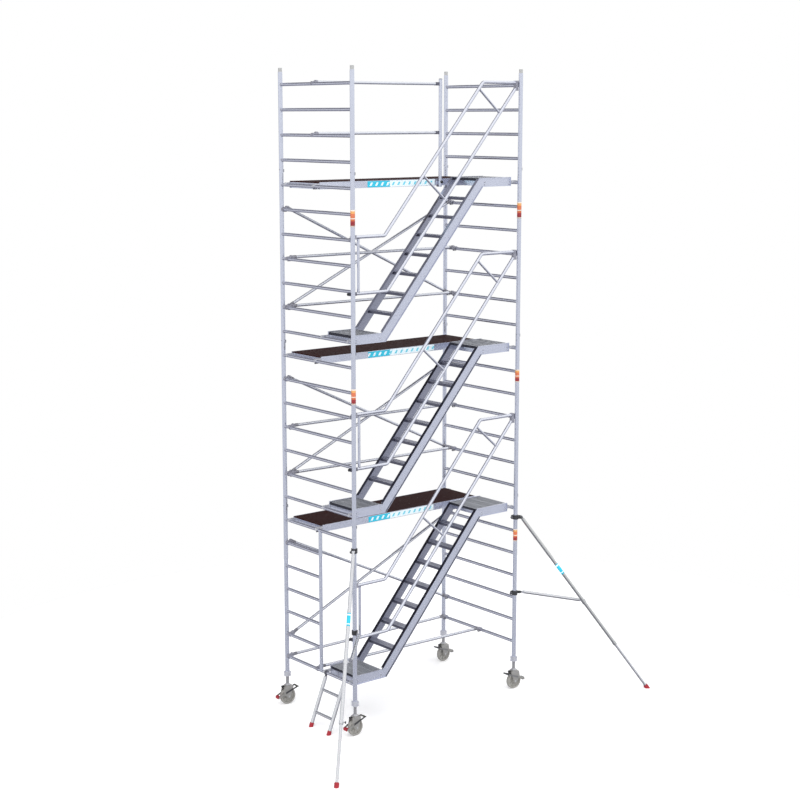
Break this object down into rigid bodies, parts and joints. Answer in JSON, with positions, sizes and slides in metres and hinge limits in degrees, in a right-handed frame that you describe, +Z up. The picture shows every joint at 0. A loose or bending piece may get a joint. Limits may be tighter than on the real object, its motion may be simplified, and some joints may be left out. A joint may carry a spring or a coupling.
{
  "type": "mobile stair tower scaffold",
  "caption": "Rolling aluminium tower scaffold with zigzag stairs, plywood platforms, handrails, braces, swivel castors and splayed stabiliser legs",
  "frame": {"origin": "on the floor, at the middle of the rectangle that the tower and its two stabiliser feet cover", "axes": "+Z up, the tower's height; +X along the bay from the passage frame to the plain frame; +Y from the side with the stairs and stabilisers to the braced side"},
  "size_m": [4.9228, 2.4902, 7.5845],
  "materials": {
    "tube_aluminium": "drawn tube, satin",
    "stair_aluminium": "extruded, satin",
    "tread_aluminium": "ribbed, matt",
    "cast_aluminium": "as cast",
    "deck_plywood": "phenolic film, non-slip",
    "black_casting": "black powder coat",
    "zinc_steel": "zinc plated",
    "latch_steel": "zinc plated wire",
    "wheel_nylon": "moulded nylon",
    "brake_pedal": "red pedal on steel arms",
    "foot_rubber": "moulded red rubber",
    "knob_plastic": "moulded black plastic",
    "blue_label": "plain adhesive film",
    "white_label": "plain adhesive film",
    "safety_label": "plain adhesive film in bands"
  },
  "bodies": {
    "tower": {"base_frame_left": "tube_aluminium", "base_frame_right": "tube_aluminium", "brace_claws": "cast_aluminium", "carrying_hooks": "cast_aluminium", "diagonal_braces": "tube_aluminium", "frame_spigots": "tube_aluminium", "guard_post": "tube_aluminium", "guardrails": "tube_aluminium", "platform_deck_1": "deck_plywood", "platform_deck_2": "deck_plywood", "platform_deck_3": "deck_plywood", "platform_frame_1": "tube_aluminium", "platform_frame_2": "tube_aluminium", "platform_frame_3": "tube_aluminium", "rail_couplers": "cast_aluminium", "second_frame_left": "tube_aluminium", "second_frame_right": "tube_aluminium", "spring_clips_and_latches": "latch_steel", "stair_handrail_1": "tube_aluminium", "stair_handrail_2": "tube_aluminium", "stair_handrail_3": "tube_aluminium", "stair_landing_boards": "tread_aluminium", "stair_stringers_1": "stair_aluminium", "stair_stringers_2": "stair_aluminium", "stair_stringers_3": "stair_aluminium", "stair_treads": "tread_aluminium", "third_frame_left": "tube_aluminium", "third_frame_right": "tube_aluminium", "top_frame_left": "tube_aluminium", "top_frame_right": "tube_aluminium"},
    "nut_near_left": {"castor_nut_near_left": "zinc_steel"},
    "spindle_near_left": {"castor_spindle_near_left": "zinc_steel"},
    "fork_near_left": {"castor_fork_near_left": "zinc_steel"},
    "wheel_near_left": {"castor_wheel_near_left": "wheel_nylon"},
    "brake_near_left": {"castor_brake_near_left": "brake_pedal"},
    "nut_far_left": {"castor_nut_far_left": "zinc_steel"},
    "spindle_far_left": {"castor_spindle_far_left": "zinc_steel"},
    "fork_far_left": {"castor_fork_far_left": "zinc_steel"},
    "wheel_far_left": {"castor_wheel_far_left": "wheel_nylon"},
    "brake_far_left": {"castor_brake_far_left": "brake_pedal"},
    "nut_near_right": {"castor_nut_near_right": "zinc_steel"},
    "spindle_near_right": {"castor_spindle_near_right": "zinc_steel"},
    "fork_near_right": {"castor_fork_near_right": "zinc_steel"},
    "wheel_near_right": {"castor_wheel_near_right": "wheel_nylon"},
    "brake_near_right": {"castor_brake_near_right": "brake_pedal"},
    "nut_far_right": {"castor_nut_far_right": "zinc_steel"},
    "spindle_far_right": {"castor_spindle_far_right": "zinc_steel"},
    "fork_far_right": {"castor_fork_far_right": "zinc_steel"},
    "wheel_far_right": {"castor_wheel_far_right": "wheel_nylon"},
    "brake_far_right": {"castor_brake_far_right": "brake_pedal"},
    "stabiliser_swing_left": {"stabiliser_clamps_left": "black_casting"},
    "stabiliser_leg_left": {"stabiliser_leg_left": "tube_aluminium"},
    "stabiliser_extension_left": {"stabiliser_inner_leg_left": "tube_aluminium"},
    "stabiliser_arm_left": {"stabiliser_arm_left": "tube_aluminium"},
    "stabiliser_swing_right": {"stabiliser_clamps_right": "black_casting"},
    "stabiliser_leg_right": {"stabiliser_leg_right": "tube_aluminium"},
    "stabiliser_extension_right": {"stabiliser_inner_leg_right": "tube_aluminium"},
    "stabiliser_arm_right": {"stabiliser_arm_right": "tube_aluminium"},
    "ladder": {"access_ladder": "tube_aluminium"}
  },
  "joints": [
    {"name": "nut_turn_near_left", "type": "hinge", "parent": "tower", "child": "nut_near_left", "pos_m": [-1.3636, -0.1486, 0.38], "axis": [0, 0, 1], "continuous": true},
    {"name": "spindle_slide_near_left", "type": "slide", "parent": "tower", "child": "spindle_near_left", "axis": [0, 0, -1], "range_m": [0, 0.2]},
    {"name": "swivel_near_left", "type": "hinge", "parent": "spindle_near_left", "child": "fork_near_left", "pos_m": [-1.3636, -0.1486, 0.22], "axis": [0, 0, 1], "continuous": true},
    {"name": "wheel_spin_near_left", "type": "hinge", "parent": "fork_near_left", "child": "wheel_near_left", "pos_m": [-1.3636, -0.1486, 0.1], "axis": [-0.0349, 0.9994, 0], "continuous": true},
    {"name": "brake_pedal_near_left", "type": "hinge", "parent": "fork_near_left", "child": "brake_near_left", "pos_m": [-1.42556, -0.15076, 0.14], "axis": [0.0349, -0.9994, 0], "range_deg": [0, 8]},
    {"name": "nut_turn_far_left", "type": "hinge", "parent": "tower", "child": "nut_far_left", "pos_m": [-1.3636, 1.1914, 0.38], "axis": [0, 0, 1], "continuous": true},
    {"name": "spindle_slide_far_left", "type": "slide", "parent": "tower", "child": "spindle_far_left", "axis": [0, 0, -1], "range_m": [0, 0.2]},
    {"name": "swivel_far_left", "type": "hinge", "parent": "spindle_far_left", "child": "fork_far_left", "pos_m": [-1.3636, 1.1914, 0.22], "axis": [0, 0, 1], "continuous": true},
    {"name": "wheel_spin_far_left", "type": "hinge", "parent": "fork_far_left", "child": "wheel_far_left", "pos_m": [-1.3636, 1.1914, 0.1], "axis": [0.0872, 0.9962, 0], "continuous": true},
    {"name": "brake_pedal_far_left", "type": "hinge", "parent": "fork_far_left", "child": "brake_far_left", "pos_m": [-1.42536, 1.1968, 0.14], "axis": [-0.0872, -0.9962, 0], "range_deg": [0, 8]},
    {"name": "nut_turn_near_right", "type": "hinge", "parent": "tower", "child": "nut_near_right", "pos_m": [1.1364, -0.1486, 0.38], "axis": [0, 0, 1], "continuous": true},
    {"name": "spindle_slide_near_right", "type": "slide", "parent": "tower", "child": "spindle_near_right", "axis": [0, 0, -1], "range_m": [0, 0.2]},
    {"name": "swivel_near_right", "type": "hinge", "parent": "spindle_near_right", "child": "fork_near_right", "pos_m": [1.1364, -0.1486, 0.22], "axis": [0, 0, 1], "continuous": true},
    {"name": "wheel_spin_near_right", "type": "hinge", "parent": "fork_near_right", "child": "wheel_near_right", "pos_m": [1.1364, -0.1486, 0.1], "axis": [-0.0698, -0.9976, 0], "continuous": true},
    {"name": "brake_pedal_near_right", "type": "hinge", "parent": "fork_near_right", "child": "brake_near_right", "pos_m": [1.19825, -0.15293, 0.14], "axis": [0.0698, 0.9976, 0], "range_deg": [0, 8]},
    {"name": "nut_turn_far_right", "type": "hinge", "parent": "tower", "child": "nut_far_right", "pos_m": [1.1364, 1.1914, 0.38], "axis": [0, 0, 1], "continuous": true},
    {"name": "spindle_slide_far_right", "type": "slide", "parent": "tower", "child": "spindle_far_right", "axis": [0, 0, -1], "range_m": [0, 0.2]},
    {"name": "swivel_far_right", "type": "hinge", "parent": "spindle_far_right", "child": "fork_far_right", "pos_m": [1.1364, 1.1914, 0.22], "axis": [0, 0, 1], "continuous": true},
    {"name": "wheel_spin_far_right", "type": "hinge", "parent": "fork_far_right", "child": "wheel_far_right", "pos_m": [1.1364, 1.1914, 0.1], "axis": [0.0349, -0.9994, 0], "continuous": true},
    {"name": "brake_pedal_far_right", "type": "hinge", "parent": "fork_far_right", "child": "brake_far_right", "pos_m": [1.19836, 1.19356, 0.14], "axis": [-0.0349, 0.9994, 0], "range_deg": [0, 8]},
    {"name": "stabiliser_turn_left", "type": "hinge", "parent": "tower", "child": "stabiliser_swing_left", "pos_m": [-1.3636, -0.1486, 1.7], "axis": [0, 0, 1], "range_deg": [-30, 30]},
    {"name": "stabiliser_fold_left", "type": "hinge", "parent": "stabiliser_swing_left", "child": "stabiliser_leg_left", "pos_m": [-1.41487, -0.19915, 2.196], "axis": [0.7022, -0.712, 0], "range_deg": [0, 26]},
    {"name": "stabiliser_arm_fold_left", "type": "hinge", "parent": "stabiliser_swing_left", "child": "stabiliser_arm_left", "pos_m": [-1.41487, -0.19915, 1.234], "axis": [0.7022, -0.712, 0], "range_deg": [0, 65]},
    {"name": "stabiliser_telescope_left", "type": "slide", "parent": "stabiliser_leg_left", "child": "stabiliser_extension_left", "axis": [0.3882, 0.3828, 0.8383], "range_m": [0, 0.45]},
    {"name": "stabiliser_turn_right", "type": "hinge", "parent": "tower", "child": "stabiliser_swing_right", "pos_m": [1.1364, -0.1486, 1.7], "axis": [0, 0, 1], "range_deg": [-30, 30]},
    {"name": "stabiliser_fold_right", "type": "hinge", "parent": "stabiliser_swing_right", "child": "stabiliser_leg_right", "pos_m": [1.19196, -0.1944, 2.196], "axis": [0.6361, 0.7716, 0], "range_deg": [0, 26]},
    {"name": "stabiliser_arm_fold_right", "type": "hinge", "parent": "stabiliser_swing_right", "child": "stabiliser_arm_right", "pos_m": [1.19196, -0.1944, 1.234], "axis": [0.6361, 0.7716, 0], "range_deg": [0, 65]},
    {"name": "stabiliser_telescope_right", "type": "slide", "parent": "stabiliser_leg_right", "child": "stabiliser_extension_right", "axis": [-0.4553, 0.3753, 0.8074], "range_m": [0, 0.45]},
    {"name": "ladder_hinge", "type": "hinge", "parent": "tower", "child": "ladder", "pos_m": [-1.3636, 0.2194, 0.606], "axis": [0, 1, 0], "range_deg": [0, 50]}
  ],
  "couplings": [
    {"joint": "stabiliser_arm_fold_left", "follows": "stabiliser_fold_left", "ratio": 2.5},
    {"joint": "stabiliser_arm_fold_right", "follows": "stabiliser_fold_right", "ratio": 2.5}
  ]
}
